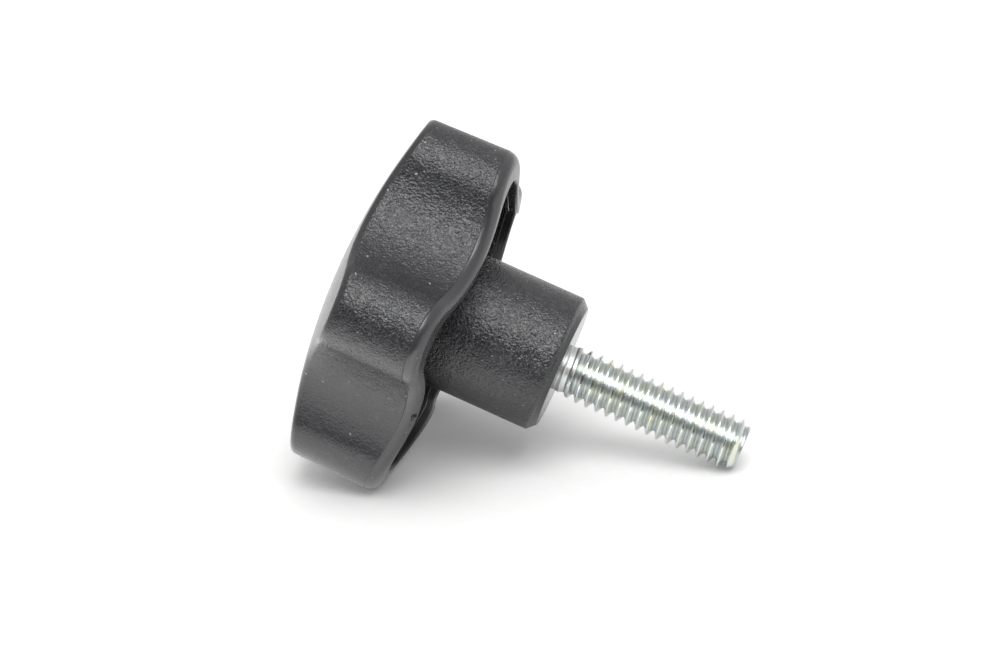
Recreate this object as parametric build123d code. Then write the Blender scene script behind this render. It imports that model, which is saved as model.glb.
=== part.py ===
"""Thumb screw: a five-lobed plastic knob moulded round the head of a steel stud.

Millimetres. The screw is built upright in its own axis frame, with the middle
of the dome at z = 0 and the stud pointing along +Z, and is then laid down as
it comes to rest: on two neighbouring lobes and the tip of the stud. In the
written parts Z is up, the floor is z = 0, and the stud points along +X and down.
"""
from build123d import *
import math
import os

# Lobed outline of the knob, at the level of the underside edge of a lobe
LOBES = 5
LOBE_TIP_R = 22.1           # axis to the crest of a lobe
VALLEY_R = 16.0             # axis to the bottom of a valley
LOBE_ARC_R = 5.5            # rounding of a lobe, seen along the axis

# Outer form of the knob
DOME_R = 72.0               # spherical top
EDGE_DEPTH = 14.1           # middle of the dome to the underside edge of a lobe
UNDERSIDE_ANGLE = 12.0      # the rim rises towards the axis by this many degrees
WALL_DRAFT = 1.6            # the wall narrows towards the dome by this many degrees
DOME_EDGE_R = 0.8           # rounding between dome and wall
RIM_EDGE_R = 1.5            # rounding between wall and rim

# Hollow under the knob
TOP_WALL = 2.8              # plastic between dome and hollow
LOBE_WALL = 3.2             # rim width at a lobe
VALLEY_WALL = 1.8           # rim width at a valley
HOLLOW_ARC_R = 4.0          # rounding of the hollow inside a lobe
HOLLOW_DRAFT = 1.0          # the hollow narrows towards its floor by this many degrees
FLOOR_EDGE_R = 1.0          # rounding round the floor of the hollow
RIM_INNER_R = 0.3           # softening of the rim's inner edge

# Hub round the stud
HUB_R = 8.25
HUB_REACH = 27.9            # middle of the dome to the seat face of the hub
HUB_EDGE = 1.0              # bevel round the seat face
HUB_EDGE_ROUND = 0.3        # softening of that bevel

# Steel stud for a 1/4 inch thread of 20 turns to the inch
STUD_R = 3.175              # over the thread crests
ROOT_R = 2.395              # bottom of the thread
BLANK_R = 2.75              # unthreaded neck
STUD_REACH = 22.6           # seat face to tip
PITCH = 1.27
TURNS = 16                  # crests between the neck and the bevel of the tip
CREST_FLAT = PITCH / 8
FLANK_ANGLE = 30.0          # degrees from each flank to square across the axis
TIP_BEVEL = 1.1             # along the axis
TIP_R = 2.4                 # end face

# Hexagonal head that the knob is moulded round
HEAD_FLATS = 11.1
HEAD_HEIGHT = 4.2
HEAD_COVER = 8.0            # plastic between head and seat face

# Construction
ABOVE = 3.0                 # how far a tool runs past what it cuts
TOUCH = 0.001               # a point this near a surface lies on it
FIRST_TILT = 20.0           # degrees, where the search for the resting tilt starts
TILT_STEPS = 6


def valley_arc_radius(tip_r, valley_r, arc_r):
    """Radius of the hollow arc that is tangent to two neighbouring lobe arcs."""
    half = math.pi / LOBES
    centre_r = tip_r - arc_r
    gap = centre_r**2 + valley_r**2 - 2 * centre_r * valley_r * math.cos(half) - arc_r**2
    return gap / (2 * (centre_r * math.cos(half) + arc_r - valley_r))


def lobed_face(tip_r, valley_r, arc_r, z):
    """Flat face at height z with the lobed outline, and a valley on +X."""
    half_turn = 180 / LOBES
    hollow_r = valley_arc_radius(tip_r, valley_r, arc_r)
    lobe_centre = Vector(tip_r - arc_r, 0)
    valley_centre = Vector(valley_r + hollow_r, 0).rotate(Axis.Z, half_turn)
    tangent = lobe_centre + (valley_centre - lobe_centre) * (arc_r / (arc_r + hollow_r))
    swing = math.degrees(math.atan2(tangent.Y, tangent.X))

    def at(radius, angle):
        return Vector(radius, 0).rotate(Axis.Z, angle)

    edges = []
    for k in range(LOBES):
        crest = half_turn * (2 * k + 1)
        valley = crest + half_turn
        start = at(tangent.length, crest - swing)
        end = at(tangent.length, crest + swing)
        next_start = at(tangent.length, valley + half_turn - swing)
        edges.append(Edge.make_three_point_arc(start, at(tip_r, crest), end))
        edges.append(Edge.make_three_point_arc(end, at(valley_r, valley), next_start))
    return Pos(0, 0, z) * Face(Wire(edges))


def drafted_prism(tip_r, valley_r, arc_r, draft, bottom, top):
    """Lobed prism, with its sizes given at EDGE_DEPTH, that narrows downwards."""
    grow = math.tan(math.radians(draft)) * (top - EDGE_DEPTH)
    face = lobed_face(tip_r + grow, valley_r + grow, arc_r + grow, top)
    return extrude(face, amount=top - bottom, dir=(0, 0, -1), taper=draft)


def rim_height(radius):
    """Height of the conical underside at a radius from the axis."""
    return EDGE_DEPTH + (LOBE_TIP_R - radius) * math.tan(math.radians(UNDERSIDE_ANGLE))


def outline_edges(body, low, high):
    """Edges that run round the knob outside its hub, between two heights."""
    def lies_there(point):
        return low < point.Z < high and math.hypot(point.X, point.Y) > HUB_R + HUB_EDGE

    return [edge for edge in body.edges() if lies_there(edge @ 0) and lies_there(edge @ 1)]


def solid_knob():
    """The knob and its hub without the hollow: a lobed prism cut by a turned form."""
    reach = LOBE_TIP_R + ABOVE
    section = Polyline(
        (0, -ABOVE),
        (reach, -ABOVE),
        (reach, rim_height(reach)),
        (HUB_R, rim_height(HUB_R)),
        (HUB_R, HUB_REACH - HUB_EDGE),
        (HUB_R - HUB_EDGE, HUB_REACH),
        (0, HUB_REACH),
        close=True,
    )
    turned = revolve(Plane.XZ * make_face(section), Axis.Z)
    dome = Pos(0, 0, DOME_R) * Sphere(DOME_R)
    prism = drafted_prism(LOBE_TIP_R, VALLEY_R, LOBE_ARC_R, WALL_DRAFT, -ABOVE, HUB_REACH + ABOVE)
    body = prism & dome & turned
    half_way = EDGE_DEPTH / 2
    body = fillet(outline_edges(body, half_way, HUB_REACH), RIM_EDGE_R)
    body = fillet(outline_edges(body, -ABOVE, half_way), DOME_EDGE_R)
    bevel = [
        edge
        for edge in body.edges().filter_by(GeomType.CIRCLE)
        if edge.center().Z > HUB_REACH - HUB_EDGE - HUB_EDGE_ROUND
    ]
    return fillet(bevel, HUB_EDGE_ROUND)


def hollow():
    """The ring-shaped space between the hub and the lobed wall."""
    space = drafted_prism(
        LOBE_TIP_R - LOBE_WALL,
        VALLEY_R - VALLEY_WALL,
        HOLLOW_ARC_R,
        HOLLOW_DRAFT,
        0,
        rim_height(HUB_R) + ABOVE,
    )
    space &= Pos(0, 0, DOME_R) * Sphere(DOME_R - TOP_WALL)
    space -= Cylinder(HUB_R, HUB_REACH, align=(Align.CENTER, Align.CENTER, Align.MIN))
    floor_edges = [edge for edge in space.edges() if max((edge @ 0).Z, (edge @ 1).Z) < EDGE_DEPTH / 2]
    return fillet(floor_edges, FLOOR_EDGE_R)


def half_crest(radius):
    """Half the width of a thread crest, measured along the axis at a radius."""
    return CREST_FLAT / 2 + (STUD_R - radius) * math.tan(math.radians(FLANK_ANGLE))


def thread_section(start, bevel_start):
    """Half section of the shank from start, with crests that end where the bevel starts.

    The crests are rings of the thread's own form and pitch. The last one lies
    on the bevel, which cuts it off.
    """
    root = half_crest(ROOT_R)
    points = [(0, start), (BLANK_R, start)]
    for k in range(TURNS + 1):
        crest = bevel_start - CREST_FLAT / 2 - (TURNS - 1 - k) * PITCH
        if k == 0:
            points.append((BLANK_R, crest - half_crest(BLANK_R)))
        else:
            points.append((ROOT_R, crest - root))
        points.append((STUD_R, crest - CREST_FLAT / 2))
        points.append((STUD_R, crest + CREST_FLAT / 2))
        points.append((ROOT_R, crest + root))
    points.append((0, crest + root))
    return make_face(Polyline(*points, close=True))


def make_stud():
    """Stud with a hexagonal head inside the hub, a neck, and a bevelled tip."""
    head_top = HUB_REACH - HEAD_COVER
    tip = HUB_REACH + STUD_REACH
    envelope = Polyline(
        (0, 0),
        (STUD_R, 0),
        (STUD_R, tip - TIP_BEVEL),
        (TIP_R, tip),
        (0, tip),
        close=True,
    )
    section = thread_section(head_top - HEAD_HEIGHT, tip - TIP_BEVEL) & make_face(envelope)
    shank = revolve(Plane.XZ * section, Axis.Z)
    hexagon = RegularPolygon(HEAD_FLATS / 2, 6, major_radius=False)
    head = extrude(Pos(0, 0, head_top) * hexagon, amount=HEAD_HEIGHT, dir=(0, 0, -1))
    return shank + head


def make_knob(stud):
    """Moulded knob: outer form less the hollow and the space that the stud fills."""
    space = hollow()
    body = solid_knob() - space
    inner_edges = [
        edge
        for edge in outline_edges(body, EDGE_DEPTH, HUB_REACH)
        if space.distance_to(Vertex(edge @ 0.5)) < TOUCH
    ]
    return fillet(inner_edges, RIM_INNER_R) - stud


def lay(shape, tilt):
    """Turn a shape from its axis frame so that the stud points along +X and down."""
    return Rot(0, 90 + tilt, 0) * shape


def resting_tilt(knob, stud):
    """Tilt in degrees at which the lobes and the tip of the stud are level."""
    tilt = FIRST_TILT
    span = HUB_REACH + STUD_REACH - EDGE_DEPTH
    for _ in range(TILT_STEPS):
        knob_low = lay(knob, tilt).bounding_box().min.Z
        stud_low = lay(stud, tilt).bounding_box().min.Z
        tilt += math.degrees(math.atan((stud_low - knob_low) / span))
    return tilt


def main():
    stud = make_stud()
    knob = make_knob(stud)
    tilt = resting_tilt(knob, stud)
    box = lay(Compound([knob.solid(), stud.solid()]), tilt).bounding_box()
    middle = box.center()
    to_floor = Pos(-middle.X, -middle.Y, -box.min.Z)
    os.makedirs("parts", exist_ok=True)
    for name, shape in (("knob_body", knob), ("threaded_stud", stud)):
        export_step((to_floor * lay(shape, tilt)).solid(), f"parts/{name}.step")
    placing = to_floor * Rot(0, 90 + tilt, 0)
    for label, height in (("seat face", HUB_REACH), ("tip", HUB_REACH + STUD_REACH)):
        point = (placing * Pos(0, 0, height)).position
        print(label, [round(value, 4) for value in point])
    print("resting tilt", round(tilt, 3))


if __name__ == "__main__":
    main()
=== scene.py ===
"""Thumb screw lying on a white table: a five-lobed nylon knob on a zinc-plated stud.

Both pieces are rebuilt round the CAD frame as closed meshes. Sizes are in
millimetres in the screw's own axis frame, where Z runs from the middle of the
dome to the tip of the stud, and the last step lays each mesh down in metres.
"""
import logging
import math
from dataclasses import dataclass, field
from enum import Enum

import bpy
import numpy as np
from mathutils import Matrix, Vector


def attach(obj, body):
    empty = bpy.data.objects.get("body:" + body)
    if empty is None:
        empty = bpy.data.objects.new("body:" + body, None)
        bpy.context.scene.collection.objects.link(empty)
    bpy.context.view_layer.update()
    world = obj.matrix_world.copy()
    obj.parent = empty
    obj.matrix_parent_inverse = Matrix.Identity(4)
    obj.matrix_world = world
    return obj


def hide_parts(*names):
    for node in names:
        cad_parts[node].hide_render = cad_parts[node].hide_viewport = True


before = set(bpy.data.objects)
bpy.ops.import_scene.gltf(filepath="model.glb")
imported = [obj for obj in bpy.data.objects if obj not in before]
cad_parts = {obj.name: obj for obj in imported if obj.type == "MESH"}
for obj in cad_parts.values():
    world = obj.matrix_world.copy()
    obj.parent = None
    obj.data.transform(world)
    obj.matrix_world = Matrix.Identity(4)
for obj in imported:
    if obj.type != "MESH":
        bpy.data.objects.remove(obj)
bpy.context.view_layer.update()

LOG = logging.getLogger("thumb_screw")
MM = 0.001
FULL_TURN = 2 * math.pi
Span = tuple[float, float]          # where something sets in, and where it is complete


class Slot(Enum):
    """Material slots that the record names."""

    KNOB = "knob"
    STUD = "stud"


def srgb(code: str) -> tuple[float, float, float, float]:
    """Turn a hex colour into linear light.

    Args:
        code: six hex digits, with or without a leading hash.

    Returns:
        Red, green, blue and an alpha of 1, as shader sockets want them.
    """
    digits = code.lstrip("#")
    levels = [int(digits[i:i + 2], 16) / 255 for i in (0, 2, 4)]
    linear = [v / 12.92 if v <= 0.04045 else ((v + 0.055) / 1.055) ** 2.4 for v in levels]
    return (linear[0], linear[1], linear[2], 1.0)


def towards(azimuth: float, elevation: float) -> Vector:
    """Direction in which a thing is seen from the screw.

    Args:
        azimuth: degrees from the front of the table, towards +X.
        elevation: degrees over the table.

    Returns:
        A vector of length 1.
    """
    turn = math.radians(azimuth)
    rise = math.radians(elevation)
    return Vector((math.sin(turn) * math.cos(rise), -math.cos(turn) * math.cos(rise), math.sin(rise)))


def add_node(
    tree: bpy.types.NodeTree,
    kind: str,
    settings: dict[str, object] | None = None,
    links: dict[str | int, object] | None = None,
) -> bpy.types.Node:
    """Add one node to a tree.

    Args:
        tree: the shader or geometry tree.
        kind: Blender's name for the node.
        settings: properties of the node.
        links: input name or number to a value, a socket or a Field.

    Returns:
        The new node.
    """
    node = tree.nodes.new(kind)
    for key, value in (settings or {}).items():
        setattr(node, key, value)
    for key, value in (links or {}).items():
        source = value.socket if isinstance(value, Field) else value
        if isinstance(source, bpy.types.NodeSocket):
            tree.links.new(source, node.inputs[key])
        else:
            node.inputs[key].default_value = source
    return node


@dataclass(frozen=True)
class Field:
    """A number that varies over a mesh or a surface, with ordinary arithmetic."""

    tree: bpy.types.NodeTree
    socket: bpy.types.NodeSocket

    def do(self, operation: str, *values: "Field | float", first: "Field | float | None" = None) -> "Field":
        """Put this number through one Math operation.

        Args:
            operation: the Math node's operation.
            values: the operands that come after this number.
            first: an operand that comes before this number.

        Returns:
            The result.
        """
        operands = [self, *values] if first is None else [first, self]
        links = dict(enumerate(operands))
        node = add_node(self.tree, "ShaderNodeMath", {"operation": operation}, links)
        return Field(self.tree, node.outputs[0])

    def __add__(self, other: "Field | float") -> "Field":
        """Sum."""
        return self.do("ADD", other)

    def __radd__(self, other: float) -> "Field":
        """Sum with a plain number first."""
        return self.do("ADD", other)

    def __sub__(self, other: "Field | float") -> "Field":
        """Difference."""
        return self.do("SUBTRACT", other)

    def __rsub__(self, other: float) -> "Field":
        """Difference with a plain number first."""
        return self.do("SUBTRACT", first=other)

    def __mul__(self, other: "Field | float") -> "Field":
        """Product."""
        return self.do("MULTIPLY", other)

    def __rmul__(self, other: float) -> "Field":
        """Product with a plain number first."""
        return self.do("MULTIPLY", other)

    def __truediv__(self, other: "Field | float") -> "Field":
        """Quotient."""
        return self.do("DIVIDE", other)

    def __rtruediv__(self, other: float) -> "Field":
        """Quotient with a plain number first."""
        return self.do("DIVIDE", first=other)


Number = Field | float
Place = tuple[Number, Number, Number]


def blend(start: Number, end: Number, share: Number) -> Number:
    """Value between start and end, at a share of the way."""
    return start + (end - start) * share


def length_of(x: Field, y: Field) -> Field:
    """Length of a flat vector."""
    return (x * x + y * y).do("SQRT")


def swung(x: Field, y: Field, cosine: Field, sine: Field) -> tuple[Field, Field]:
    """Flat vector after a turn about the axis, whose cosine and sine are given."""
    return x * cosine - y * sine, x * sine + y * cosine


def ramp(value: Field, low: float, high: float) -> Field:
    """Ease from 0 to 1 while a number goes from low to high, and stay there outside.

    Args:
        value: the number.
        low: where the result is still 0.
        high: where the result has reached 1.

    Returns:
        The eased share.
    """
    links = {"Value": value, "From Min": low, "From Max": high}
    node = add_node(value.tree, "ShaderNodeMapRange", {"interpolation_type": "SMOOTHSTEP"}, links)
    return Field(value.tree, node.outputs["Result"])


def ramp_degrees(angle: Field, span: Span) -> Field:
    """Ease from 0 to 1 while an angle in radians crosses a span in degrees."""
    return ramp(angle, math.radians(span[0]), math.radians(span[1]))


@dataclass(frozen=True)
class Dent:
    """A small knock in a surface."""

    place: tuple[float, float, float]
    radius: float
    depth: float
    floor: float = 0.5              # share of the radius that the flat floor takes
    softness: float = 0.4           # rounding between that floor and the slope


@dataclass
class ShapeTree:
    """A Geometry Nodes tree that skins bands of quads over formulas."""

    name: str
    sizes: dict[str, float]
    columns: int
    start: float = 0.0              # share of a turn at which the first column stands
    dents: tuple[Dent, ...] = ()
    seam: float = 0.002             # points that lie closer than this become one
    sharp_above: float = 30.0       # edges that fold by more degrees than this stay sharp
    tree: bpy.types.NodeTree = field(init=False)
    inputs: bpy.types.Node = field(init=False)
    across: Field = field(init=False)
    along: Field = field(init=False)
    bands: list[bpy.types.NodeSocket] = field(init=False, default_factory=list)

    def __post_init__(self) -> None:
        """Make the empty tree with one named input for each size."""
        self.tree = bpy.data.node_groups.new(self.name, "GeometryNodeTree")
        sockets = self.tree.interface
        sockets.new_socket(name="Geometry", in_out="INPUT", socket_type="NodeSocketGeometry")
        sockets.new_socket(name="Finish", in_out="INPUT", socket_type="NodeSocketMaterial")
        for size in self.sizes:
            sockets.new_socket(name=size, in_out="INPUT", socket_type="NodeSocketFloat")
        sockets.new_socket(name="Geometry", in_out="OUTPUT", socket_type="NodeSocketGeometry")
        self.inputs = add_node(self.tree, "NodeGroupInput")
        place = add_node(self.tree, "GeometryNodeInputPosition")
        parts = add_node(self.tree, "ShaderNodeSeparateXYZ", links={0: place.outputs[0]})
        # A grid of side 1 is centred on its origin, so half is added to count from 0
        self.across = Field(self.tree, parts.outputs["X"]) + 0.5
        self.along = Field(self.tree, parts.outputs["Y"]) + 0.5

    def size(self, name: str) -> Field:
        """A named input as a Field."""
        return Field(self.tree, self.inputs.outputs[name])

    def angle(self) -> Field:
        """Direction of a column round the axis, in radians."""
        return (self.across + self.start) * FULL_TURN

    def turned(self, radius: Number, height: Number) -> Place:
        """Point of a turned surface, at a radius and a height."""
        angle = self.angle()
        return angle.do("COSINE") * radius, angle.do("SINE") * radius, height

    def add_band(self, rows: int, place: Place) -> None:
        """Add a strip of quads.

        Args:
            rows: how many rows of quads the strip has.
            place: x, y and z of its points, from self.across and self.along.
        """
        links = {"Size X": 1.0, "Size Y": 1.0, "Vertices X": self.columns + 1, "Vertices Y": rows + 1}
        grid = add_node(self.tree, "GeometryNodeMeshGrid", links=links)
        point = add_node(self.tree, "ShaderNodeCombineXYZ", links=dict(enumerate(place)))
        links = {"Geometry": grid.outputs["Mesh"], "Position": point.outputs[0]}
        moved = add_node(self.tree, "GeometryNodeSetPosition", links=links)
        self.bands.append(moved.outputs[0])

    def make(self, finish: bpy.types.Material, lay: Matrix) -> bpy.types.Object:
        """Join the bands, close their seams and bring the mesh to its place.

        Args:
            finish: the material.
            lay: axis frame to row frame.

        Returns:
            A plain mesh object at the origin.
        """
        joined = add_node(self.tree, "GeometryNodeJoinGeometry")
        for band in self.bands:
            self.tree.links.new(band, joined.inputs[0])
        links = {"Geometry": joined.outputs[0], "Distance": self.seam}
        closed = add_node(self.tree, "GeometryNodeMergeByDistance", links=links)
        skin = closed.outputs[0]
        for dent in self.dents:
            skin = self.push_in(skin, dent)
        fold = Field(self.tree, add_node(self.tree, "GeometryNodeInputMeshEdgeAngle").outputs[0])
        sharp = fold.do("GREATER_THAN", math.radians(self.sharp_above))
        links = {"Geometry": skin, "Selection": sharp, "Shade Smooth": False}
        smooth = add_node(self.tree, "GeometryNodeSetShadeSmooth", {"domain": "EDGE"}, links)
        real = add_node(self.tree, "GeometryNodeRealizeInstances", links={0: smooth.outputs[0]})
        links = {"Geometry": real.outputs[0], "Material": self.inputs.outputs["Finish"]}
        dressed = add_node(self.tree, "GeometryNodeSetMaterial", links=links)
        add_node(self.tree, "NodeGroupOutput", links={0: dressed.outputs[0]})
        return self.evaluate(finish, lay)

    def push_in(self, skin: bpy.types.NodeSocket, dent: Dent) -> bpy.types.NodeSocket:
        """Push the skin towards the axis and the dome alike, round one place.

        Args:
            skin: the geometry.
            dent: where, how wide and how deep.

        Returns:
            The dented geometry.
        """
        place = add_node(self.tree, "GeometryNodeInputPosition")
        links = {0: place.outputs[0], 1: dent.place}
        away = add_node(self.tree, "ShaderNodeVectorMath", {"operation": "DISTANCE"}, links)
        near = 1 - Field(self.tree, away.outputs["Value"]) / dent.radius
        flattened = near.do("MAXIMUM", 0.0).do("SMOOTH_MIN", dent.floor, dent.softness)
        middle = math.hypot(dent.place[0], dent.place[1])
        inward = (-dent.place[0] / middle, -dent.place[1] / middle, -1.0)
        links = {0: inward, "Scale": flattened * (dent.depth / dent.floor)}
        offset = add_node(self.tree, "ShaderNodeVectorMath", {"operation": "SCALE"}, links)
        links = {"Geometry": skin, "Offset": offset.outputs[0]}
        return add_node(self.tree, "GeometryNodeSetPosition", links=links).outputs[0]

    def evaluate(self, finish: bpy.types.Material, lay: Matrix) -> bpy.types.Object:
        """Run the tree and keep its result as a plain mesh.

        Args:
            finish: the material.
            lay: axis frame to row frame.

        Returns:
            A plain mesh object at the origin.
        """
        seed = bpy.data.objects.new(self.name, bpy.data.meshes.new(self.name))
        bpy.context.scene.collection.objects.link(seed)
        modifier = seed.modifiers.new("Shape", "NODES")
        modifier.node_group = self.tree
        values = {**self.sizes, "Finish": finish}
        for item in self.tree.interface.items_tree:
            if item.in_out == "INPUT" and item.name in values:
                modifier[item.identifier] = values[item.name]
        bpy.context.view_layer.update()
        shaped = seed.evaluated_get(bpy.context.evaluated_depsgraph_get())
        mesh = bpy.data.meshes.new_from_object(shaped)
        seed.modifiers.remove(modifier)
        mesh.transform(lay)
        self.face_outwards(mesh)
        seed.data = mesh
        return seed

    def face_outwards(self, mesh: bpy.types.Mesh) -> None:
        """Turn the faces over where the closed mesh holds a negative volume.

        Args:
            mesh: the mesh, in metres.
        """
        mesh.calc_loop_triangles()
        points = np.empty(len(mesh.vertices) * 3)
        mesh.vertices.foreach_get("co", points)
        corners = np.empty(len(mesh.loop_triangles) * 3, dtype=int)
        mesh.loop_triangles.foreach_get("vertices", corners)
        a, b, c = points.reshape(-1, 3)[corners.reshape(-1, 3)].swapaxes(0, 1)
        volume = float(np.einsum("ij,ij->", a, np.cross(b, c))) / 6
        LOG.info("%s: %d triangles, volume %.0f mm3", self.name, len(a), volume / MM**3)
        if volume < 0:
            mesh.flip_normals()


@dataclass(frozen=True)
class HexHead:
    """Hexagonal head of the stud, which the knob is moulded round."""

    flats: float = 11.1
    top: float = 19.9
    bottom: float = 15.7

    def add_to(self, shape: ShapeTree, bore: Number) -> None:
        """Skin the head's shoulder, its flats and its end.

        Args:
            shape: the tree that gets the bands.
            bore: radius at which the shoulder starts.
        """
        along = shape.along
        side = FULL_TURN / 6
        off_middle = shape.angle().do("MODULO", side) - side / 2
        flat = (self.flats / 2) / off_middle.do("COSINE")
        shape.add_band(rows=1, place=shape.turned(blend(bore, flat, along), self.top))
        shape.add_band(rows=1, place=shape.turned(flat, blend(self.top, self.bottom, along)))
        shape.add_band(rows=2, place=shape.turned(flat * (1 - along), self.bottom))


@dataclass(frozen=True)
class Screw:
    """Sizes that the knob and the stud share, and how the screw lies.

    It rests on two lobes and the tip of its stud. Heights are measured along
    the axis from the middle of the dome.
    """

    tilt: float = 23.565            # degrees by which the stud points down
    seat_place: tuple[float, float, float] = (4.2677, 0.0, 11.5056)     # in the row frame
    seat: float = 27.9              # height of the hub's seat face
    dome: float = 72.0              # radius of the spherical top
    neck: float = 2.75              # radius of the stud where it leaves the hub
    head: HexHead = HexHead()

    def matrix(self) -> Matrix:
        """Work out how the axis frame in millimetres lies in the row frame in metres.

        Returns:
            Axis frame to row frame.
        """
        turn = Matrix.Rotation(math.radians(90 + self.tilt), 4, "Y")
        back = turn @ Vector((0, 0, -self.seat))
        place = Matrix.Translation((Vector(self.seat_place) + back) * MM)
        return place @ turn @ Matrix.Scale(MM, 4)

    def own_place(self, tree: bpy.types.NodeTree) -> Place:
        """Place of a shaded point in the axis frame, in millimetres.

        Args:
            tree: the material's tree.

        Returns:
            The x, y and z of the point. In the resting pose x points down.
        """
        back = self.matrix().inverted()
        coords = add_node(tree, "ShaderNodeTexCoord")
        links = {
            "Vector": coords.outputs["Object"],
            "Location": tuple(back.to_translation()),
            "Rotation": tuple(back.to_euler()),
            "Scale": (1 / MM, 1 / MM, 1 / MM),
        }
        mapped = add_node(tree, "ShaderNodeMapping", {"vector_type": "POINT"}, links)
        parts = add_node(tree, "ShaderNodeSeparateXYZ", links={0: mapped.outputs[0]})
        x, y, z = (Field(tree, output) for output in parts.outputs)
        return x, y, z


@dataclass(frozen=True)
class LobedRing:
    """Convex arcs and hollow arcs in turn, tangent to each other."""

    tip: float                      # axis to the crest of a lobe
    valley: float                   # axis to the bottom of a valley
    arc: float                      # radius of the convex arcs
    draft: float                    # degrees by which the ring shrinks towards the dome
    lobes: int = 5

    @property
    def half(self) -> float:
        """Angle from the middle of a lobe to the middle of a valley."""
        return math.pi / self.lobes

    @property
    def valley_arc(self) -> float:
        """Radius of the hollow arcs, which makes them tangent to the convex ones.

        Returns:
            The radius.
        """
        near = self.tip - self.arc
        gap = near**2 + self.valley**2 - 2 * near * self.valley * math.cos(self.half) - self.arc**2
        return gap / (2 * (near * math.cos(self.half) + self.arc - self.valley))

    @property
    def valley_centre(self) -> tuple[float, float]:
        """Centre of the hollow arc next to a lobe that lies on X."""
        far = self.valley + self.valley_arc
        return far * math.cos(self.half), far * math.sin(self.half)

    @property
    def turn(self) -> float:
        """Direction of the outline's normal where the two arcs meet."""
        x, y = self.valley_centre
        return math.atan2(y, x - (self.tip - self.arc))

    def sizes(self, prefix: str) -> dict[str, float]:
        """Name the inputs that describe the ring in a tree.

        Args:
            prefix: what their names start with.

        Returns:
            Name to value.
        """
        centre_x, centre_y = self.valley_centre
        return {
            f"{prefix} lobe centre": self.tip - self.arc,
            f"{prefix} lobe arc": self.arc,
            f"{prefix} valley centre X": centre_x,
            f"{prefix} valley centre Y": centre_y,
            f"{prefix} valley arc": self.valley_arc,
            f"{prefix} turn": self.turn,
            f"{prefix} draft": math.radians(self.draft),
        }


class RingFields:
    """A lobed ring as formulas of how far round the knob a point lies."""

    def __init__(self, shape: ShapeTree, prefix: str, ring: LobedRing, level: float) -> None:
        """Work out the ring's centres and normals.

        Args:
            shape: the tree that the formulas go into.
            prefix: what the ring's named inputs start with.
            ring: the ring.
            level: height at which its sizes hold.
        """
        self.level = level
        self.draft = shape.size(f"{prefix} draft")
        passed = shape.across * ring.lobes
        nearest = (passed + 0.5).do("FLOOR")
        offset = passed - nearest
        side = offset.do("SIGN")
        # From the middle of a lobe, share is 0 to 1 on its arc and 1 to 2 on the hollow arc
        share = offset.do("ABSOLUTE") * 4
        hollow = share.do("GREATER_THAN", 1.0)
        turn = shape.size(f"{prefix} turn")
        swing = share.do("MINIMUM", 1.0) * turn
        swing = swing - (share - 1).do("MAXIMUM", 0.0) * (turn - ring.half)
        middle_x = blend(shape.size(f"{prefix} lobe centre"), shape.size(f"{prefix} valley centre X"), hollow)
        middle_y = shape.size(f"{prefix} valley centre Y") * hollow
        self.reach = blend(shape.size(f"{prefix} lobe arc"), shape.size(f"{prefix} valley arc") * -1, hollow)
        crest = (nearest * 2 + 1) * ring.half
        cosine, sine = crest.do("COSINE"), crest.do("SINE")
        self.normal_x, self.normal_y = swung(swing.do("COSINE"), swing.do("SINE") * side, cosine, sine)
        self.centre_x, self.centre_y = swung(middle_x, middle_y * side, cosine, sine)

    def at(self, height: Number, beyond: Number = 0.0) -> Place:
        """Point of the drafted wall.

        Args:
            height: height of the point.
            beyond: how far outside the wall it lies.

        Returns:
            The point.
        """
        grown = self.reach + (height - self.level) * self.draft.do("TANGENT") + beyond
        return self.centre_x + self.normal_x * grown, self.centre_y + self.normal_y * grown, height

    def outward(self, sign: float = 1.0) -> Place:
        """Direction that looks away from the wall, or into it where sign is -1."""
        flat = self.draft.do("COSINE") * sign
        return self.normal_x * flat, self.normal_y * flat, self.draft.do("SINE") * -sign


@dataclass(frozen=True)
class Roll:
    """A rounding, swept by a ball that touches two surfaces."""

    centre: Place
    first: Place                    # direction from the centre to the first surface
    second: Place                   # direction from the centre to the second surface
    radius: float

    def at(self, share: Number) -> Place:
        """Point on the ball, between the places where it touches.

        Args:
            share: 0 at the first surface and 1 at the second.

        Returns:
            The point.
        """
        cosine = sum((a * b for a, b in zip(self.first, self.second)), 0.0)
        angle = cosine.do("MINIMUM", 1.0).do("ARCCOSINE")
        scale = angle.do("SINE")
        near = ((1 - share) * angle).do("SINE") / scale
        far = (share * angle).do("SINE") / scale
        x, y, z = (
            middle + (a * near + b * far) * self.radius
            for middle, a, b in zip(self.centre, self.first, self.second)
        )
        return x, y, z


def empty_material(name: str) -> bpy.types.Material:
    """Make a node material with nothing in it.

    Args:
        name: its name.

    Returns:
        The material.
    """
    made = bpy.data.materials.new(name)
    made.use_nodes = True
    made.node_tree.nodes.clear()
    return made


def layered(tree: bpy.types.NodeTree, base: str, layers: list[tuple[Number, str]]) -> bpy.types.NodeSocket:
    """Lay hex colours over each other.

    Args:
        tree: the material's tree.
        base: the colour underneath.
        layers: how much each next colour covers, and the colour.

    Returns:
        The colour that shows.
    """
    shown = srgb(base)
    for cover, code in layers:
        links = {"Factor": cover, "A": shown, "B": srgb(code)}
        shown = add_node(tree, "ShaderNodeMix", {"data_type": "RGBA"}, links).outputs["Result"]
    return shown


@dataclass(frozen=True)
class Cloud:
    """A cloudy pattern, given by its real size."""

    size: float                     # mm, mean width of its patches
    detail: float                   # how many finer layers it has
    rough: float                    # how strong those layers are

    def over(self, point: bpy.types.NodeSocket) -> dict[str | int, object]:
        """Inputs of a noise over a place in millimetres."""
        return {"Vector": point, "Scale": 1 / self.size, "Detail": self.detail, "Roughness": self.rough}


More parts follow.
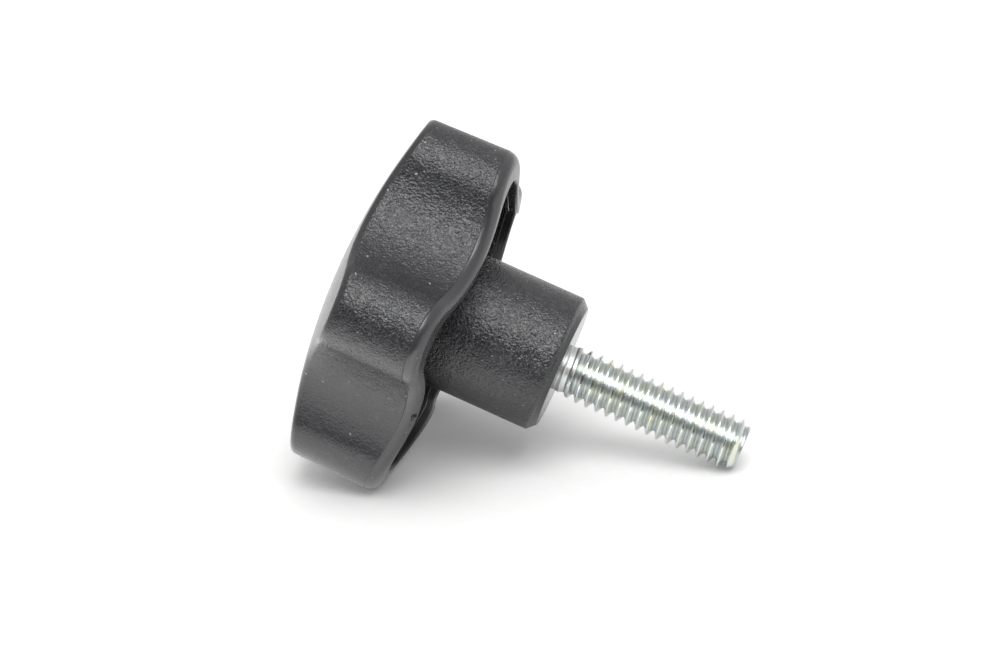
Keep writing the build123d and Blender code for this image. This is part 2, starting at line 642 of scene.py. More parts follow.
@dataclass(frozen=True)
class MouldedNylon:
    """Black glass-filled nylon from a spark-eroded mould.

    The eroded grain breaks the gloss into fine light specks. The rim past the
    parting line, the dome and the end of the hub are smoother, and the rim's colour
    is lightened as a painted reflection. A few specks of dust lie on it.
    """

    screw: Screw
    base: str = "#242427"
    pale: str = "#56565c"           # where the skin is rubbed and on the tops of the grain
    painted_rim_sheen: str = "#3b3b3d"          # painted reflection: a lighter colour on the rim
    dust: str = "#a3a19c"
    ior: float = 1.6                # nylon filled with glass
    pits: Cloud = Cloud(size=0.25, detail=1.5, rough=0.6)       # eroded grain, coarser so that it shows
    waves: Cloud = Cloud(size=1.25, detail=2.0, rough=0.5)      # slow unevenness under the grain
    tone: Cloud = Cloud(size=6.0, detail=3.0, rough=0.55)       # cloudy changes of gloss
    rubbed: Cloud = Cloud(size=1.4, detail=4.0, rough=0.7)      # places that are rubbed pale

    # Zones, in millimetres
    parting_height: float = 12.87   # the parting line at the crest of a lobe
    parting_reach: float = 22.1     # how far from the axis that is
    parting_rise: float = 0.215     # for each millimetre nearer the axis
    past_parting: Span = (-0.03, 0.06)          # from the parting line
    outside_hub: Span = (9.0, 9.6)  # from the axis
    under_dome: Span = (0.3, 0.7)   # from the dome
    hub_end: Span = (-0.9, -0.5)    # from the seat face
    seat_face: Span = (-0.06, -0.02)            # from the seat face too
    underside: Span = (1.0, 9.0)    # below the axis, where the grain is flatter

    # Colour
    rubbed_range: Span = (0.52, 0.74)
    pits_range: Span = (0.5, 0.8)
    pale_cover: float = 0.3
    pale_polished: float = 0.6      # share of that cover which smooth places lack
    # painted reflection: how much of the rim takes the lighter colour
    painted_rim_sheen_cover: float = 0.75

    # Gloss and relief
    rough: float = 0.25
    dome_gloss: float = 0.05
    seat_gloss: float = 0.12
    underside_rough: float = 0.1
    tone_rough: float = 0.14
    rubbed_rough: float = 0.08
    dome_polish: float = 0.8        # the rim and the hub's end count as 1
    pits_height: float = 0.8
    waves_height: float = 0.6
    polish_flattens: float = 0.85
    underside_flattens: float = 0.65
    relief: float = 0.00019         # metres, height that the shading gives to the grain

    # Dust
    speck_spacing: float = 2.6      # mm between the places where a speck may lie
    speck_share: float = 0.18       # share of those places that have one
    speck_radius: Span = (0.02, 0.045)          # shares of the spacing, so 0.1 to 0.23 mm across
    unrolled: float = 20.0          # mm, radius at which the unrolled skin has its true width

    def material(self) -> bpy.types.Material:
        """Build the node material.

        Returns:
            The material.
        """
        made = empty_material("moulded_black_nylon")
        tree = made.node_tree
        x, y, z = self.screw.own_place(tree)
        point = add_node(tree, "ShaderNodeCombineXYZ", links={0: x, 1: y, 2: z}).outputs[0]
        pits, waves, tone, rubbed = (
            Field(tree, add_node(tree, "ShaderNodeTexNoise", links=cloud.over(point)).outputs["Fac"])
            for cloud in (self.pits, self.waves, self.tone, self.rubbed)
        )
        rim, top, hub_end = self.zones(x, y, z)
        polished = (rim + top * self.dome_polish + hub_end).do("MINIMUM", 1.0)
        below = ramp(x, *self.underside)

        worn = ramp(rubbed, *self.rubbed_range) + ramp(pits, *self.pits_range)
        worn = worn * self.pale_cover * (1 - polished * self.pale_polished)
        # The rim's lighter layer is a painted reflection, not a colour of the nylon
        layers = [(worn, self.pale), (rim * self.painted_rim_sheen_cover, self.painted_rim_sheen), (self.specks(x, y, z), self.dust)]
        rough = (tone - 0.5) * self.tone_rough + (rubbed - 0.5) * self.rubbed_rough + self.rough
        rough = rough + below * self.underside_rough - top * self.dome_gloss
        rough = rough - ramp(z - self.screw.seat, *self.seat_face) * self.seat_gloss
        height = pits * self.pits_height + waves * self.waves_height
        height = height * (1 - polished * self.polish_flattens) * (1 - below * self.underside_flattens)
        links = {"Strength": 1.0, "Distance": self.relief, "Height": height}
        bump = add_node(tree, "ShaderNodeBump", links=links)
        links = {
            "Base Color": layered(tree, self.base, layers),
            "Roughness": rough,
            "IOR": self.ior,
            "Normal": bump.outputs[0],
        }
        shader = add_node(tree, "ShaderNodeBsdfPrincipled", links=links)
        add_node(tree, "ShaderNodeOutputMaterial", links={0: shader.outputs[0]})
        return made

    def zones(self, x: Field, y: Field, z: Field) -> tuple[Field, Field, Field]:
        """Tell the parts of the surface that the mould leaves smoother.

        Args:
            x: place across the axis in millimetres.
            y: place across the axis in millimetres.
            z: place along the axis in millimetres.

        Returns:
            1 on the rim, on the dome and on the end of the hub, and 0 elsewhere.
        """
        radius = length_of(x, y)
        parting = (self.parting_reach - radius) * self.parting_rise + self.parting_height
        rim = ramp(z - parting, *self.past_parting) * ramp(radius, *self.outside_hub)
        sphere = self.screw.dome - (self.screw.dome**2 - radius * radius).do("SQRT")
        top = 1 - ramp(z - sphere, *self.under_dome)
        return rim, top, ramp(z - self.screw.seat, *self.hub_end)

    def specks(self, x: Field, y: Field, z: Field) -> Field:
        """Scatter specks of dust over the unrolled skin.

        Args:
            x: place across the axis in millimetres.
            y: place across the axis in millimetres.
            z: place along the axis in millimetres.

        Returns:
            1 on a speck and 0 elsewhere.
        """
        tree = x.tree
        around = y.do("ARCTAN2", x) * self.unrolled
        skin = add_node(tree, "ShaderNodeCombineXYZ", links={0: around, 1: z - length_of(x, y)})
        settings = {"feature": "F1", "voronoi_dimensions": "2D"}
        links = {"Vector": skin.outputs[0], "Scale": 1 / self.speck_spacing, "Randomness": 1.0}
        cell = add_node(tree, "ShaderNodeTexVoronoi", settings, links)
        draws = add_node(tree, "ShaderNodeSeparateColor", links={0: cell.outputs["Color"]})
        lot, width, _ = (Field(tree, output) for output in draws.outputs)
        on_speck = Field(tree, cell.outputs["Distance"]).do("LESS_THAN", blend(*self.speck_radius, width))
        return on_speck * lot.do("GREATER_THAN", 1 - self.speck_share)


@dataclass(frozen=True)
class ZincPlate:
    """Bright zinc plating with a clear passivation, on rolled steel.

    It gives a soft silver gloss, a faint warm and green cast in patches, and
    dull grey roots where a film stays.
    """

    screw: Screw
    bright: str = "#e2e6e5"
    cast: str = "#dde0c9"
    film: str = "#b6bcba"           # in the roots
    patches: Cloud = Cloud(size=1.818, detail=3.0, rough=0.6)   # patches of the cast
    crystals: Cloud = Cloud(size=0.2, detail=4.0, rough=0.7)    # zinc crystals, coarser so that they show
    cast_range: Span = (0.48, 0.72)
    root: Span = (2.4, 2.8)         # mm from the axis, over which the film ends
    film_cover: float = 0.45
    film_crystals: float = 0.5      # how much the crystals add to that cover
    rough: float = 0.2
    root_rough: float = 0.16
    crystals_rough: float = 0.16
    patches_rough: float = 0.1
    neck: Span = (0.6, 2.0)         # mm from the seat face, over which the dull neck ends
    neck_rough: float = 0.25
    relief: float = 0.00003         # metres, height that the shading gives to the crystals
    relief_strength: float = 0.3

    def material(self) -> bpy.types.Material:
        """Build the node material.

        Returns:
            The material.
        """
        made = empty_material("zinc_plated_steel")
        tree = made.node_tree
        x, y, z = self.screw.own_place(tree)
        point = add_node(tree, "ShaderNodeCombineXYZ", links={0: x, 1: y, 2: z}).outputs[0]
        patches, crystals = (
            Field(tree, add_node(tree, "ShaderNodeTexNoise", links=cloud.over(point)).outputs["Fac"])
            for cloud in (self.patches, self.crystals)
        )
        root = 1 - ramp(length_of(x, y), *self.root)
        neck = 1 - ramp(z - self.screw.seat, *self.neck)

        dull = root * (crystals * self.film_crystals + self.film_cover)
        layers = [(ramp(patches, *self.cast_range), self.cast), (dull, self.film)]
        rough = (crystals - 0.5) * self.crystals_rough + (patches - 0.5) * self.patches_rough
        rough = rough + root * self.root_rough + neck * self.neck_rough + self.rough
        links = {"Strength": self.relief_strength, "Distance": self.relief, "Height": crystals}
        bump = add_node(tree, "ShaderNodeBump", links=links)
        links = {
            "Base Color": layered(tree, self.bright, layers),
            "Metallic": 1.0,
            "Roughness": rough,
            "Normal": bump.outputs[0],
        }
        shader = add_node(tree, "ShaderNodeBsdfPrincipled", links=links)
        add_node(tree, "ShaderNodeOutputMaterial", links={0: shader.outputs[0]})
        return made


@dataclass
class Knob:
    """Moulded knob: dome, lobed wall, rim, hollow and hub in one closed skin."""

    screw: Screw
    outer: LobedRing = LobedRing(tip=22.09, valley=16.0, arc=5.49, draft=1.6)
    inner: LobedRing = LobedRing(tip=18.9, valley=14.2, arc=4.0, draft=1.0)
    edge_depth: float = 14.1        # height at which the rings' sizes hold
    top_wall: float = 2.8           # plastic between the dome and the hollow
    dome_edge: float = 0.8          # rounding between dome and wall
    rim_edge: float = 1.5           # rounding between wall and rim
    rim_angle: float = 12.0         # degrees by which the rim rises towards the axis
    rim_inner: float = 0.3          # softening of the rim's inner edge
    floor_edge: float = 1.0         # rounding round the floor of the hollow
    parting_step: float = 0.05      # the rim's mould half stands back by this much
    hub: float = 8.25
    hub_bevel: float = 1.0
    hub_round: float = 0.3          # softening of that bevel
    knocks: tuple[tuple[float, float, float, float], ...] = (
        (-68.5, 15.4, 0.5, 0.5),
        (-64.5, 15.7, 0.32, 0.25),
    )                               # degrees round the rim, reach from the axis, radius, depth
    columns: int = 480
    first_guess: float = 4.0        # height from which the centre of a dome rounding is sought
    rounds: int = 3                 # steps in which the centre of a rounding is found
    shape: ShapeTree = field(init=False)

    def __post_init__(self) -> None:
        """Start the knob's tree, with a column at the same place as the first lobe's crest."""
        start = self.outer.half / FULL_TURN
        self.shape = ShapeTree(
            "knob", self.sizes(), self.columns, start=start, dents=self.dents(), sharp_above=25.0
        )

    @property
    def dome_centre(self) -> Field:
        """Height of the dome's centre, which is as high as its radius."""
        return self.shape.size("Dome radius")

    @property
    def slant(self) -> Field:
        """Angle by which the rim rises towards the axis."""
        return self.shape.size("Rim angle")

    def sizes(self) -> dict[str, float]:
        """Name the inputs of the knob's tree.

        Returns:
            Name to value.
        """
        return {
            **self.outer.sizes("Wall"),
            **self.inner.sizes("Hollow"),
            "Dome radius": self.screw.dome,
            "Top wall": self.top_wall,
            "Rim angle": math.radians(self.rim_angle),
            "Hub radius": self.hub,
        }

    def dents(self) -> tuple[Dent, ...]:
        """Place the knocks on the rim.

        Returns:
            The knocks as dents in the skin.
        """
        placed = []
        for angle, reach, radius, depth in self.knocks:
            turn = math.radians(angle)
            height = self.edge_depth + (self.outer.tip - reach) * math.tan(math.radians(self.rim_angle))
            placed.append(Dent((reach * math.cos(turn), reach * math.sin(turn), height), radius, depth))
        return tuple(placed)

    def on_sphere(self, x: Field, y: Field, radius: Field) -> Field:
        """Height of a sphere round the dome's centre, over a flat place."""
        flat = x * x + y * y
        return self.dome_centre - (radius * radius - flat).do("SQRT")

    def on_cone(self, x: Field, y: Field) -> Field:
        """Height of the rim's cone over a flat place."""
        return (self.outer.tip - length_of(x, y)) * self.slant.do("TANGENT") + self.edge_depth

    def ball_under_dome(self, ring: RingFields, sphere: Field, radius: float) -> Roll:
        """Roll a ball between a drafted wall and a sphere.

        Args:
            ring: the wall.
            sphere: radius of the sphere.
            radius: radius of the rounding.

        Returns:
            The rounding, from sphere to wall.
        """
        beyond = radius / ring.draft.do("COSINE") * -1
        reach = sphere - radius
        height: Number = self.first_guess
        for _ in range(self.rounds):
            x, y, _ = ring.at(height, beyond)
            height = self.on_sphere(x, y, reach)
        away = (x / reach, y / reach, (height - self.dome_centre) / reach)
        return Roll((x, y, height), away, ring.outward(), radius)

    def ball_under_rim(self, ring: RingFields, radius: float, sign: float, back: float) -> Roll:
        """Roll a ball between a drafted wall and the rim's cone.

        Args:
            ring: the wall.
            radius: radius of the rounding.
            sign: 1 where plastic lies inside the wall, and -1 where it lies outside.
            back: how far it stands back from the wall's own surface.

        Returns:
            The rounding, from wall to cone.
        """
        beyond = (radius / ring.draft.do("COSINE") + back) * -sign
        lower = radius / self.slant.do("COSINE")
        height: Number = self.edge_depth
        for _ in range(self.rounds):
            x, y, _ = ring.at(height, beyond)
            height = self.on_cone(x, y) - lower
        flat = length_of(x, y)
        sine = self.slant.do("SINE")
        up = (x / flat * sine, y / flat * sine, self.slant.do("COSINE"))
        return Roll((x, y, height), ring.outward(sign), up, radius)

    def build(self, finish: bpy.types.Material) -> bpy.types.Object:
        """Skin the knob from the dome to the pocket round the stud's head.

        Args:
            finish: the knob's material.

        Returns:
            The knob's mesh object.
        """
        wall = RingFields(self.shape, "Wall", self.outer, self.edge_depth)
        hollow = RingFields(self.shape, "Hollow", self.inner, self.edge_depth)
        low = self.ball_under_rim(wall, self.rim_edge, 1.0, self.parting_step)
        lip = self.ball_under_rim(hollow, self.rim_inner, -1.0, 0.0)
        self.add_outside(wall, low)
        self.add_rim(wall, low, lip)
        self.add_hub(self.add_hollow(hollow, lip))
        self.screw.head.add_to(self.shape, self.screw.neck)
        piece = self.shape.make(finish, self.screw.matrix())
        self.dress(piece)
        return piece

    def dress(self, piece: bpy.types.Object) -> None:
        """Give the knob its body, and hide the CAD node that it replaces.

        Args:
            piece: the knob's mesh object.
        """
        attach(piece, "root")
        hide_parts("knob_body")

    def add_outside(self, wall: RingFields, low: Roll) -> None:
        """Skin the dome, its rounded edge and the lobed wall down to the parting line.

        Args:
            wall: the lobed wall.
            low: the rounding of its lower edge.
        """
        along = self.shape.along
        top = self.ball_under_dome(wall, self.dome_centre, self.dome_edge)
        edge_x, edge_y, _ = top.at(0.0)
        x, y = edge_x * along, edge_y * along
        self.shape.add_band(rows=22, place=(x, y, self.on_sphere(x, y, self.dome_centre)))
        self.shape.add_band(rows=6, place=top.at(along))
        start = top.at(1.0)[2]
        end = low.at(0.0)[2]
        self.shape.add_band(rows=12, place=wall.at(blend(start, end, along)))

    def add_rim(self, wall: RingFields, low: Roll, lip: Roll) -> None:
        """Skin the parting step, the rounded lower edge, the rim and its inner rounding.

        Args:
            wall: the lobed wall.
            low: the rounding of its lower edge.
            lip: the rounding of the rim's inner edge.
        """
        along = self.shape.along
        edge = low.at(0.0)
        full_x, full_y, _ = wall.at(edge[2])
        step = (blend(full_x, edge[0], along), blend(full_y, edge[1], along), edge[2])
        self.shape.add_band(rows=1, place=step)
        self.shape.add_band(rows=10, place=low.at(along))
        outer_x, outer_y, _ = low.at(1.0)
        inner_x, inner_y, _ = lip.at(1.0)
        x = blend(outer_x, inner_x, along)
        y = blend(outer_y, inner_y, along)
        self.shape.add_band(rows=4, place=(x, y, self.on_cone(x, y)))
        self.shape.add_band(rows=4, place=lip.at(1 - along))

    def add_hollow(self, hollow: RingFields, lip: Roll) -> Roll:
        """Skin the inner wall, the floor and the roundings at its foot and the hub's.

        Args:
            hollow: the inner wall.
            lip: the rounding of the rim's inner edge.

        Returns:
            The rounding at the foot of the hub.
        """
        along = self.shape.along
        sphere = self.dome_centre - self.shape.size("Top wall")
        foot = self.ball_under_dome(hollow, sphere, self.floor_edge)
        start = lip.at(0.0)[2]
        end = foot.at(1.0)[2]
        self.shape.add_band(rows=10, place=hollow.at(blend(start, end, along)))
        self.shape.add_band(rows=5, place=foot.at(1 - along))

        ball_reach = self.shape.size("Hub radius") + self.floor_edge
        reach = sphere - self.floor_edge
        x, y, _ = self.shape.turned(ball_reach, 0.0)
        height = self.on_sphere(x, y, reach)
        away = (x / reach, y / reach, (height - self.dome_centre) / reach)
        inward = (x / ball_reach * -1, y / ball_reach * -1, 0.0)
        hub_foot = Roll((x, y, height), away, inward, self.floor_edge)
        outer_x, outer_y, _ = foot.at(0.0)
        inner_x, inner_y, _ = hub_foot.at(0.0)
        x = blend(outer_x, inner_x, along)
        y = blend(outer_y, inner_y, along)
        self.shape.add_band(rows=8, place=(x, y, self.on_sphere(x, y, sphere)))
        self.shape.add_band(rows=5, place=hub_foot.at(along))
        return hub_foot

    def add_hub(self, hub_foot: Roll) -> None:
        """Skin the hub's wall, its softened bevel, the seat face and the bore.

        Args:
            hub_foot: the rounding at the foot of the hub.
        """
        shape = self.shape
        along = shape.along
        seat = self.screw.seat
        hub = shape.size("Hub radius")
        shoulder = seat - self.hub_bevel
        # Each edge of the bevel folds by an eighth of a turn, and its rounding takes trim off both sides
        fold = FULL_TURN / 8
        trim = self.hub_round * math.tan(fold / 2)
        slant = trim * math.cos(fold)
        lower = along * fold
        upper = lower + fold
        start = hub_foot.at(1.0)[2]
        shape.add_band(rows=10, place=shape.turned(hub, blend(start, shoulder - trim, along)))
        self.add_hub_rounding(hub - self.hub_round, shoulder - trim, lower)
        bevel = shape.turned(
            hub - blend(slant, self.hub_bevel - slant, along), blend(shoulder + slant, seat - slant, along)
        )
        shape.add_band(rows=2, place=bevel)
        middle = hub - (self.hub_bevel + trim)
        self.add_hub_rounding(middle, seat - self.hub_round, upper)
        shape.add_band(rows=6, place=shape.turned(blend(middle, self.screw.neck, along), seat))
        bore = shape.turned(self.screw.neck, blend(seat, self.screw.head.top, along))
        shape.add_band(rows=3, place=bore)

    def add_hub_rounding(self, middle: Field, height: float, angle: Field) -> None:
        """Skin the rounding of one edge of the hub's bevel.

        Args:
            middle: how far from the axis its centre lies.
            height: height of its centre.
            angle: direction from its centre, which grows from the hub's wall to the seat face.
        """
        across = angle.do("COSINE") * self.hub_round
        rise = angle.do("SINE") * self.hub_round
        self.shape.add_band(rows=3, place=self.shape.turned(middle + across, rise + height))


@dataclass
class Stud:
    """Steel stud with a rolled right-hand thread of 20 turns to the inch."""

    screw: Screw
    pitch: float = 1.27
    crest: float = 3.175
    root: float = 2.395
    flank_angle: float = 30.0       # degrees from each flank to square across the axis
    crest_round: float = 0.09       # softening of the crests
    crest_over: float = 0.012       # makes up for what that softening takes off
    root_round: float = 0.16        # softening of the roots
    neck_length: float = 0.2        # seat face to where the thread starts
    run_out: float = 2.5            # seat face to the first crest of full height
    sinking: Span = (0.2, 1.0)      # shares of the run-out, over which the roots get their depth
    reach: float = 22.595           # seat face to tip
    tip_bevel: float = 1.1
    tip: float = 2.4
    first_crest: float = 0.57       # seat face to a crest on the lowest side
    columns: int = 120
    rows_per_turn: int = 20
    shape: ShapeTree = field(init=False)

    def __post_init__(self) -> None:
        """Start the stud's tree."""
        self.shape = ShapeTree("stud", self.sizes(), self.columns)

    def sizes(self) -> dict[str, float]:
        """Name the inputs of the stud's tree.

        Returns:
            Name to value.
        """
        return {
            "Pitch": self.pitch,
            "Crest radius": self.crest,
            "Root radius": self.root,
            "Neck radius": self.screw.neck,
            "Neck length": self.neck_length,
            "Run-out": self.run_out,
            "Reach": self.reach,
            "Tip bevel": self.tip_bevel,
            "Tip radius": self.tip,
            "First crest": self.first_crest,
            "Seat height": self.screw.seat,
        }

    def thread(self) -> tuple[Field, Field]:
        """Work out the thread's rows, which follow its helix.

        Returns:
            Radius, and height over the seat face.
        """
        shape = self.shape
        pitch = shape.size("Pitch")
        low = shape.size("Neck length")
        high = shape.size("Reach")
        row = low - pitch + shape.along * (high - low + pitch)
        level = (row + shape.across * pitch).do("MAXIMUM", low).do("MINIMUM", high)
        return self.thread_radius(level), level

    def thread_radius(self, level: Field) -> Field:
        """Cut the flanks, the run-out and the bevel of the tip.

        Args:
            level: height over the seat face.

        Returns:
            The stud's radius there.
        """
        shape = self.shape
        pitch = shape.size("Pitch")
        crest = shape.size("Crest radius")
        neck = shape.size("Neck radius")
        tip = shape.size("Tip radius")
        run_out = shape.size("Run-out")
        phase = (level - shape.size("First crest")) / pitch - shape.across
        away = ((phase + 0.5).do("FRACT") - 0.5).do("ABSOLUTE") * pitch
        # The crest's flat is an eighth of the pitch wide, so half of it is a sixteenth
        flank = crest - (away - pitch / 16) / math.tan(math.radians(self.flank_angle))
        started = ramp(level / run_out, *self.sinking)
        floor = blend(neck, shape.size("Root radius"), started)
        cut = flank.do("SMOOTH_MIN", crest + self.crest_over, self.crest_round)
        cut = cut.do("SMOOTH_MAX", floor, self.root_round)
        lead = blend(neck, crest, level / run_out)
        bevel = blend(tip, crest, (shape.size("Reach") - level) / shape.size("Tip bevel"))
        return cut.do("MINIMUM", crest).do("MINIMUM", lead).do("MINIMUM", bevel)

    def build(self, finish: bpy.types.Material) -> bpy.types.Object:
        """Skin the stud: thread, end face, shank inside the hub, and head.

        Args:
            finish: the stud's material.

        Returns:
            The stud's mesh object.
        """
        shape = self.shape
        along = shape.along
        seat = shape.size("Seat height")
        neck = shape.size("Neck radius")
        radius, level = self.thread()
        turns = (self.reach - self.neck_length) / self.pitch + 1
        shape.add_band(rows=round(turns * self.rows_per_turn), place=shape.turned(radius, seat + level))
        end = shape.turned(shape.size("Tip radius") * (1 - along), seat + shape.size("Reach"))
        shape.add_band(rows=4, place=end)
        top = seat + shape.size("Neck length")
        shape.add_band(rows=6, place=shape.turned(neck, blend(self.screw.head.top, top, along)))
        self.screw.head.add_to(shape, neck)
        piece = shape.make(finish, self.screw.matrix())
        self.dress(piece)
        return piece

    def dress(self, piece: bpy.types.Object) -> None:
        """Give the stud its body, and hide the CAD node that it replaces.

        Args:
            piece: the stud's mesh object.
        """
        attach(piece, "root")
        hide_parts("threaded_stud")


@dataclass(frozen=True)
class Panel:
    """A bright round panel, which only gloss shows. Its angles are degrees."""

    azimuth: float
    elevation: float
    inner: float                    # radius of its full brightness
    outer: float                    # radius at which it ends
    level: float


@dataclass(frozen=True)
class LightTent:
    """White surroundings of the table, with the dark opening that the camera looks through.

    Diffuse surfaces get an even fill that is weaker in front. Gloss alone shows
    the opening, a low dark slot and the bright panels. Angles are degrees.
    """

    fill: float = 0.9
    front_lack: float = 0.8         # share of the fill that is missing in front
    front_aside: Span = (40.0, 80.0)
    front_height: Span = (17.19, 45.84)
    wall: float = 0.74              # brightness of the tent in reflections
    opening_azimuth: float = 11.0
    opening_heights: Span = (-12.0, 36.0)
    opening_aside: Span = (11.0, 22.0)
    opening_soft: float = 4.0       # half the width of its lower and its upper edge
    opening_level: float = 0.03
    slot_height: float = 13.0
    slot_half: Span = (8.0, 13.0)   # half its height
    slot_aside: Span = (45.0, 70.0)
    panels: tuple[Panel, ...] = (
        Panel(azimuth=-14.0, elevation=30.0, inner=5.0, outer=15.0, level=0.8),
        Panel(azimuth=28.0, elevation=56.0, inner=14.0, outer=21.0, level=3.4),
    )

    def aside(self, x: Field, y: Field) -> Field:
        """Angle between a flat direction and the middle of the opening."""
        return (x.do("ARCTAN2", y * -1) - math.radians(self.opening_azimuth)).do("ABSOLUTE")

    def build(self) -> None:
        """Make the world."""
        world = bpy.data.worlds.new("light_tent")
        world.use_nodes = True
        tree = world.node_tree
        tree.nodes.clear()
        path = add_node(tree, "ShaderNodeLightPath")
        seen = Field(tree, path.outputs["Is Camera Ray"])
        shiny = Field(tree, path.outputs["Is Glossy Ray"])
        direction = add_node(tree, "ShaderNodeTexCoord").outputs["Generated"]
        parts = add_node(tree, "ShaderNodeSeparateXYZ", links={0: direction})
        x, y, z = (Field(tree, output) for output in parts.outputs)
        height = z.do("ARCSINE")
        aside = self.aside(x, y)
        shown = blend(self.wall, self.opening_level, self.dark(height, aside))
        for panel in self.panels:
            shown = shown + self.panel_light(tree, direction, panel)
        front = (1 - ramp_degrees(aside, self.front_aside)) * (1 - ramp_degrees(height, self.front_height))
        diffuse = (1 - front * self.front_lack) * self.fill
        strength = shiny * shown + seen + (1 - shiny) * (1 - seen) * diffuse
        links = {"Color": srgb("#ffffff"), "Strength": strength}
        sky = add_node(tree, "ShaderNodeBackground", links=links)
        add_node(tree, "ShaderNodeOutputWorld", links={0: sky.outputs[0]})
        bpy.context.scene.world = world

    def dark(self, height: Field, aside: Field) -> Field:
        """Draw the opening and the slot.

        Args:
            height: angle over the table.
            aside: angle from the middle of the opening.

        Returns:
            1 where either is, and 0 elsewhere.
        """
        low, high = self.opening_heights
        soft = self.opening_soft
        opening = ramp_degrees(height, (low - soft, low + soft))
        opening = opening * (1 - ramp_degrees(height, (high - soft, high + soft)))
        opening = opening * (1 - ramp_degrees(aside, self.opening_aside))
        off_slot = (height - math.radians(self.slot_height)).do("ABSOLUTE")
        slot = (1 - ramp_degrees(off_slot, self.slot_half)) * (1 - ramp_degrees(aside, self.slot_aside))
        return opening.do("MAXIMUM", slot)

    def panel_light(self, tree: bpy.types.NodeTree, direction: bpy.types.NodeSocket, panel: Panel) -> Field:
        """Light that one panel adds.

        Args:
            tree: the world's tree.
            direction: where a ray goes.
            panel: the panel.

        Returns:
            Its brightness in that direction.
        """
        links = {0: direction, 1: towards(panel.azimuth, panel.elevation)}
        facing = add_node(tree, "ShaderNodeVectorMath", {"operation": "DOT_PRODUCT"}, links)
        angle = Field(tree, facing.outputs["Value"]).do("ARCCOSINE")
        return (1 - ramp_degrees(angle, (panel.inner, panel.outer))) * panel.level


@dataclass(frozen=True)
class WhiteLaminate:
    """White laminate with a matt print, which shows as an even, faintly mottled white.

    Only gloss sees two painted marks: a strip ahead of the screw glows as a
    painted bright reflection, and a stretch far out under the tent's opening is
    painted black as a painted dark reflection. Distances are metres.
    """

    tent: LightTent
    white: str = "#f7f7f6"
    mottle: str = "#f9f9f9"
    mottle_scale: float = 900.0     # patches to the metre, so 1.1 mm each
    mottle_detail: float = 3.0
    mottle_range: Span = (0.3, 0.7)
    lift: float = 0.06              # light added for the camera
    # painted bright reflection: a strip of table ahead of the screw that glows for gloss only
    painted_glow_towards: tuple[float, float] = (-0.57, -0.82)
    painted_glow_start: Span = (0.01, 0.026)
    painted_glow_end: Span = (0.046, 0.085)
    painted_glow_level: float = 1.0
    # painted dark reflection: black that only gloss sees on the table far out under the opening
    far: str = "#101010"
    painted_dark_start: Span = (0.06, 0.09)
    painted_dark_aside: Span = (25.0, 45.0)  # degrees from the opening

    def material(self) -> bpy.types.Material:
        """Build the node material.

        Returns:
            The material.
        """
        made = empty_material("white_laminate")
        tree = made.node_tree
        place = add_node(tree, "ShaderNodeTexCoord").outputs["Object"]
        parts = add_node(tree, "ShaderNodeSeparateXYZ", links={0: place})
        x, y, _ = (Field(tree, output) for output in parts.outputs)
        path = add_node(tree, "ShaderNodeLightPath")
        shiny = Field(tree, path.outputs["Is Glossy Ray"])
        links = {"Vector": place, "Scale": self.mottle_scale, "Detail": self.mottle_detail}
        fibre = Field(tree, add_node(tree, "ShaderNodeTexNoise", links=links).outputs["Fac"])
        paper = layered(tree, self.white, [(ramp(fibre, *self.mottle_range), self.mottle)])
        diffuse = add_node(tree, "ShaderNodeBsdfDiffuse", links={"Color": paper})

        ahead = x * self.painted_glow_towards[0] + y * self.painted_glow_towards[1]
        # painted bright reflection: the strip glows only for glossy rays
        strip = ramp(ahead, *self.painted_glow_start) * (1 - ramp(ahead, *self.painted_glow_end)) * self.painted_glow_level
        glow = Field(tree, path.outputs["Is Camera Ray"]) * self.lift + shiny * strip
        lift = add_node(tree, "ShaderNodeEmission", links={"Strength": glow})
        lit = add_node(tree, "ShaderNodeAddShader", links={0: diffuse.outputs[0], 1: lift.outputs[0]})
        # painted dark reflection: far out under the opening the table turns black for glossy rays
        far = ramp(length_of(x, y), *self.painted_dark_start)
        far = far * (1 - ramp_degrees(self.tent.aside(x, y), self.painted_dark_aside))
        black = add_node(tree, "ShaderNodeBsdfDiffuse", links={"Color": srgb(self.far)})
        links = {0: far * shiny, 1: lit.outputs[0], 2: black.outputs[0]}
        whole = add_node(tree, "ShaderNodeMixShader", links=links)
        add_node(tree, "ShaderNodeOutputMaterial", links={0: whole.outputs[0]})
        return made


@dataclass(frozen=True)
class Table:
    """Wide flat table that keeps the shadow."""

    size: float = 6.0               # metres

    def build(self, finish: bpy.types.Material) -> None:
        """Lay the table down at height 0.

        Args:
            finish: its material.
        """
        half = self.size / 2
        corners = [(-half, -half, 0.0), (half, -half, 0.0), (half, half, 0.0), (-half, half, 0.0)]
        mesh = bpy.data.meshes.new("table")
        mesh.from_pydata(corners, [], [(0, 1, 2, 3)])
        mesh.materials.append(finish)
        table = bpy.data.objects.new("table", mesh)
        bpy.context.scene.collection.objects.link(table)


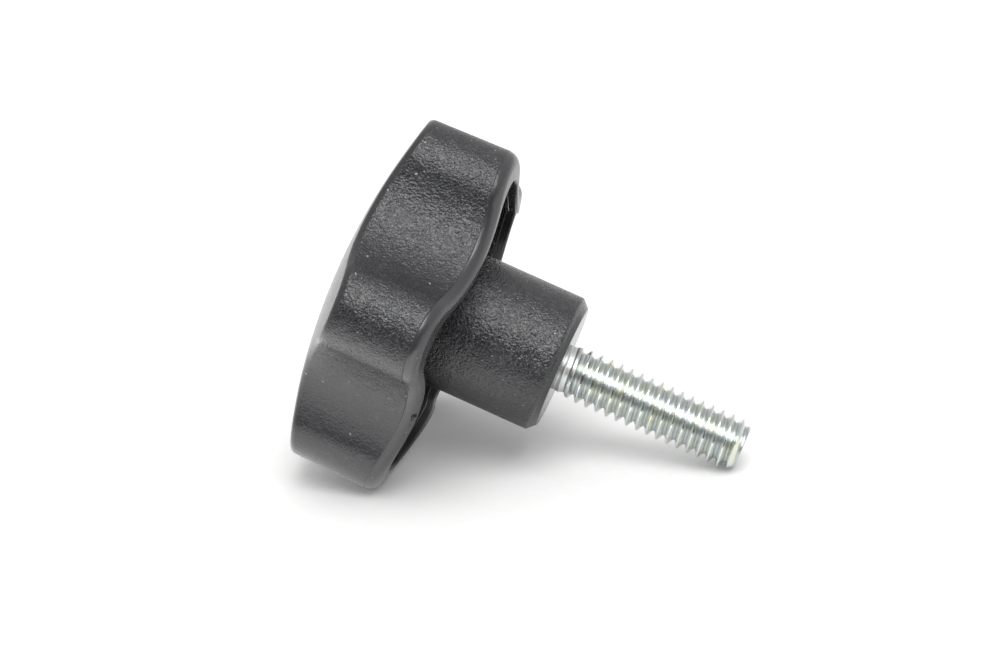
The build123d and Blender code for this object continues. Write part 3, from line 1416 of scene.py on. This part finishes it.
@dataclass(frozen=True)
class Softbox:
    """Square soft lamp over the table, turned to the screw."""

    place: tuple[float, float, float] = (0.34, -0.63, 1.45)
    size: float = 1.0               # metres
    power: float = 14.0             # watts

    def build(self) -> None:
        """Hang the lamp."""
        data = bpy.data.lights.new("overhead_softbox", "AREA")
        data.size = self.size
        data.energy = self.power
        lamp = bpy.data.objects.new("overhead_softbox", data)
        lamp.location = self.place
        lamp.rotation_euler = Vector(self.place).to_track_quat("Z", "Y").to_euler()
        bpy.context.scene.collection.objects.link(lamp)


@dataclass(frozen=True)
class Camera:
    """Camera at the photograph's viewing angle."""

    aim: tuple[float, float, float] = (-0.00305, 0.00026, 0.01524)
    azimuth: float = 16.917         # degrees from the front of the table, towards +X
    elevation: float = 25.262
    roll: float = -4.283
    distance: float = 0.36589       # metres
    lens: float = 114.2             # mm
    sensor: float = 36.0            # mm
    clip_start: float = 0.01        # metres

    def build(self) -> None:
        """Place the camera and make it the scene's."""
        data = bpy.data.cameras.new("camera")
        data.lens = self.lens
        data.sensor_width = self.sensor
        data.sensor_fit = "HORIZONTAL"
        data.clip_start = self.clip_start
        back = towards(self.azimuth, self.elevation)
        right = Vector((0, 0, 1)).cross(back).normalized()
        turn = Matrix((right, back.cross(right), back)).transposed().to_4x4()
        turn = turn @ Matrix.Rotation(math.radians(self.roll), 4, "Z")
        camera = bpy.data.objects.new("camera", data)
        camera.matrix_world = Matrix.Translation(Vector(self.aim) + back * self.distance) @ turn
        bpy.context.scene.collection.objects.link(camera)
        bpy.context.scene.camera = camera


@dataclass(frozen=True)
class Studio:
    """White table in a light tent, with a softbox and the camera."""

    table: Table = Table()
    tent: LightTent = LightTent()
    softbox: Softbox = Softbox()
    camera: Camera = Camera()

    def build(self) -> None:
        """Make all that stands round the screw."""
        self.table.build(WhiteLaminate(self.tent).material())
        self.tent.build()
        self.softbox.build()
        self.camera.build()


def main() -> None:
    """Build the screw and its studio, and report each piece."""
    logging.basicConfig(level=logging.INFO, format="%(name)s: %(message)s")
    bpy.context.scene.view_settings.view_transform = "Standard"
    screw = Screw()
    Studio().build()
    knob = Knob(screw).build(MouldedNylon(screw).material())
    stud = Stud(screw).build(ZincPlate(screw).material())
    for piece in (knob, stud):
        LOG.info("%s: %d faces", piece.name, len(piece.data.polygons))


if __name__ == "__main__":
    main()
